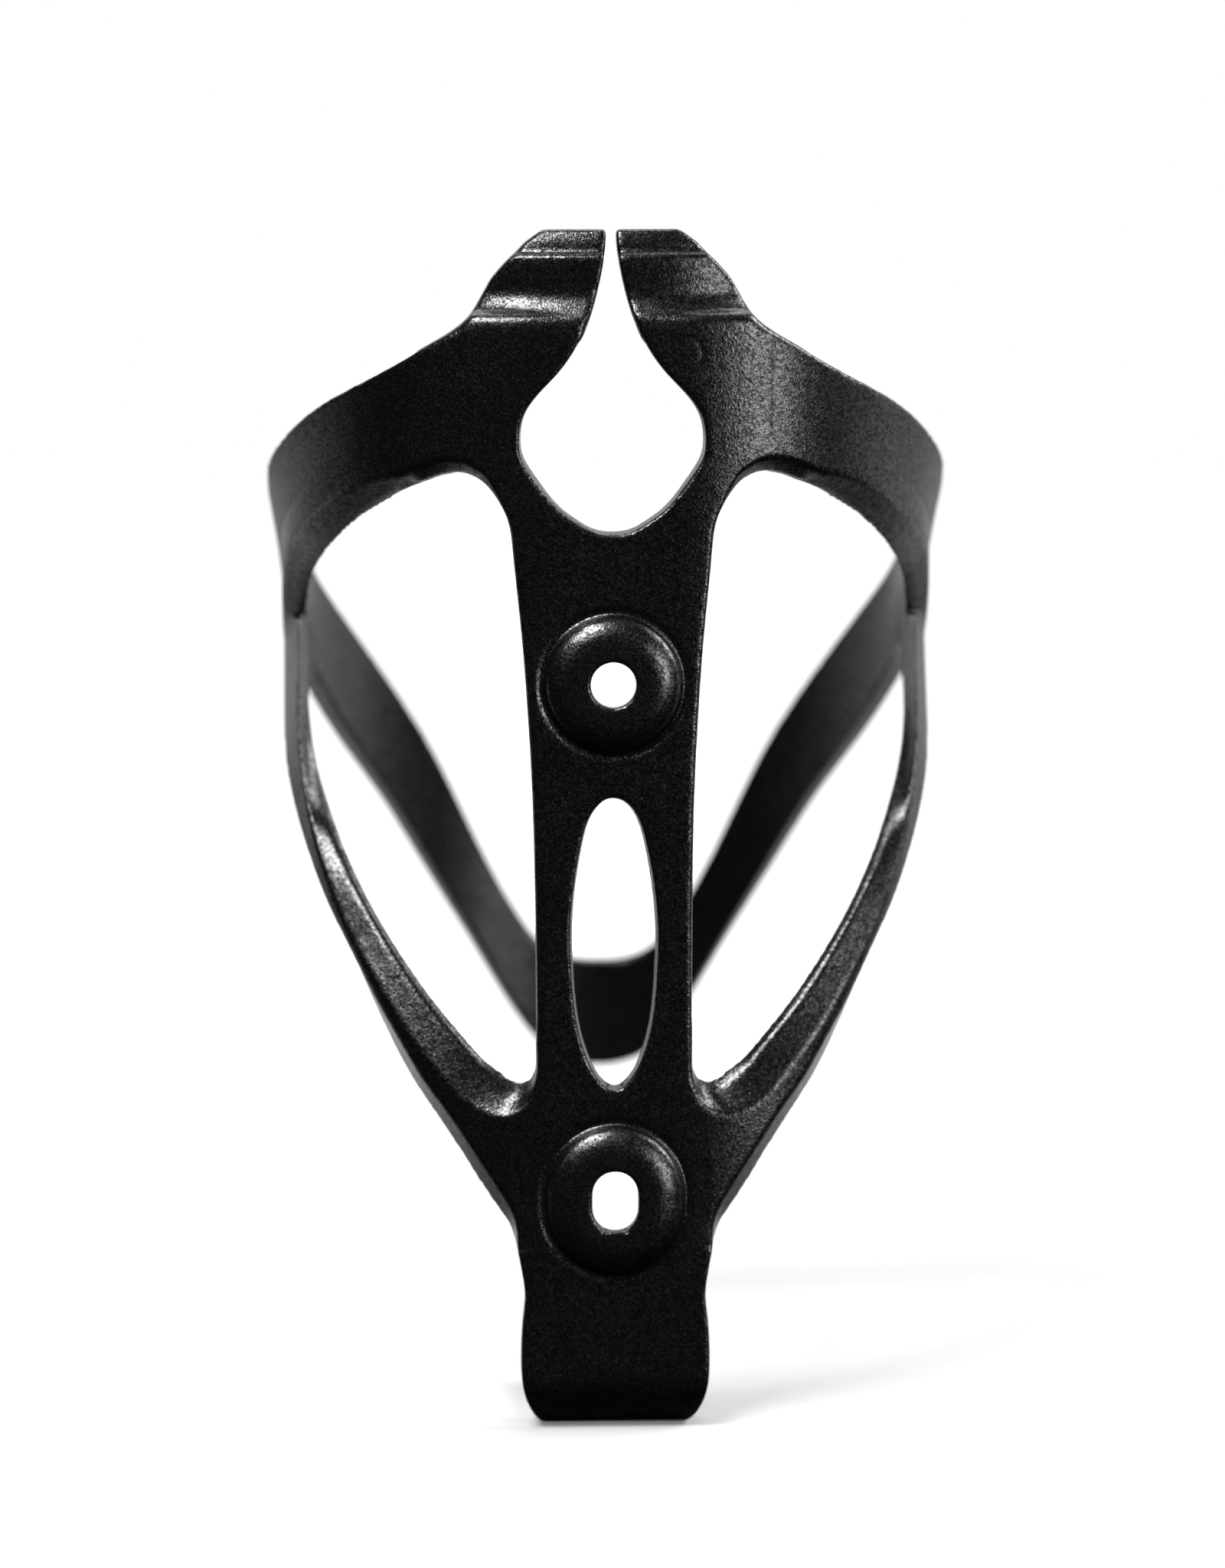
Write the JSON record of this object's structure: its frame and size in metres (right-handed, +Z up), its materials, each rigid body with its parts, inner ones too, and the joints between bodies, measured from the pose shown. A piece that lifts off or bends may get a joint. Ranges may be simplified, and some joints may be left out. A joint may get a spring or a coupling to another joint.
{
  "type": "water bottle cage",
  "caption": "Moulded black nylon bottle cage for a bicycle, with a flat bolt-on spine, two wrap-round arms, sprung top horns, a front loop and a bottle foot.",
  "frame": {"origin": "midway between the two frame bolt holes, on the plane of the boss tops that touches the bicycle frame tube", "axes": "+Z up along the spine towards the horns, +Y out of the spine towards the bottle, +X to the right when the bolt bosses are faced"},
  "size_m": [0.086, 0.0834, 0.1486],
  "materials": {
    "nylon": "fine spark-eroded grain"
  },
  "bodies": {
    "cage": {"cage_body": "nylon"},
    "left_horn": {"left_horn": "nylon"},
    "right_horn": {"right_horn": "nylon"},
    "front_loop": {"front_loop": "nylon"},
    "foot": {"foot": "nylon"}
  },
  "joints": [
    {"name": "left_horn_flex", "type": "hinge", "parent": "cage", "child": "left_horn", "pos_m": [-0.01085, 0.004, 0.076], "axis": [0.9947, -0.1029, 0], "range_deg": [0, 5], "stiffness_Nm_per_rad": 0.018},
    {"name": "right_horn_flex", "type": "hinge", "parent": "cage", "child": "right_horn", "pos_m": [0.01085, 0.004, 0.076], "axis": [0.9947, 0.1029, 0], "range_deg": [0, 5], "stiffness_Nm_per_rad": 0.018},
    {"name": "front_loop_flex", "type": "hinge", "parent": "cage", "child": "front_loop", "pos_m": [0, 0.06, 0.0286], "axis": [1, 0, 0], "range_deg": [-1, 2], "stiffness_Nm_per_rad": 4},
    {"name": "foot_flex", "type": "hinge", "parent": "cage", "child": "foot", "pos_m": [0, 0.0036, -0.0445], "axis": [1, 0, 0], "range_deg": [-2, 1], "stiffness_Nm_per_rad": 1}
  ]
}
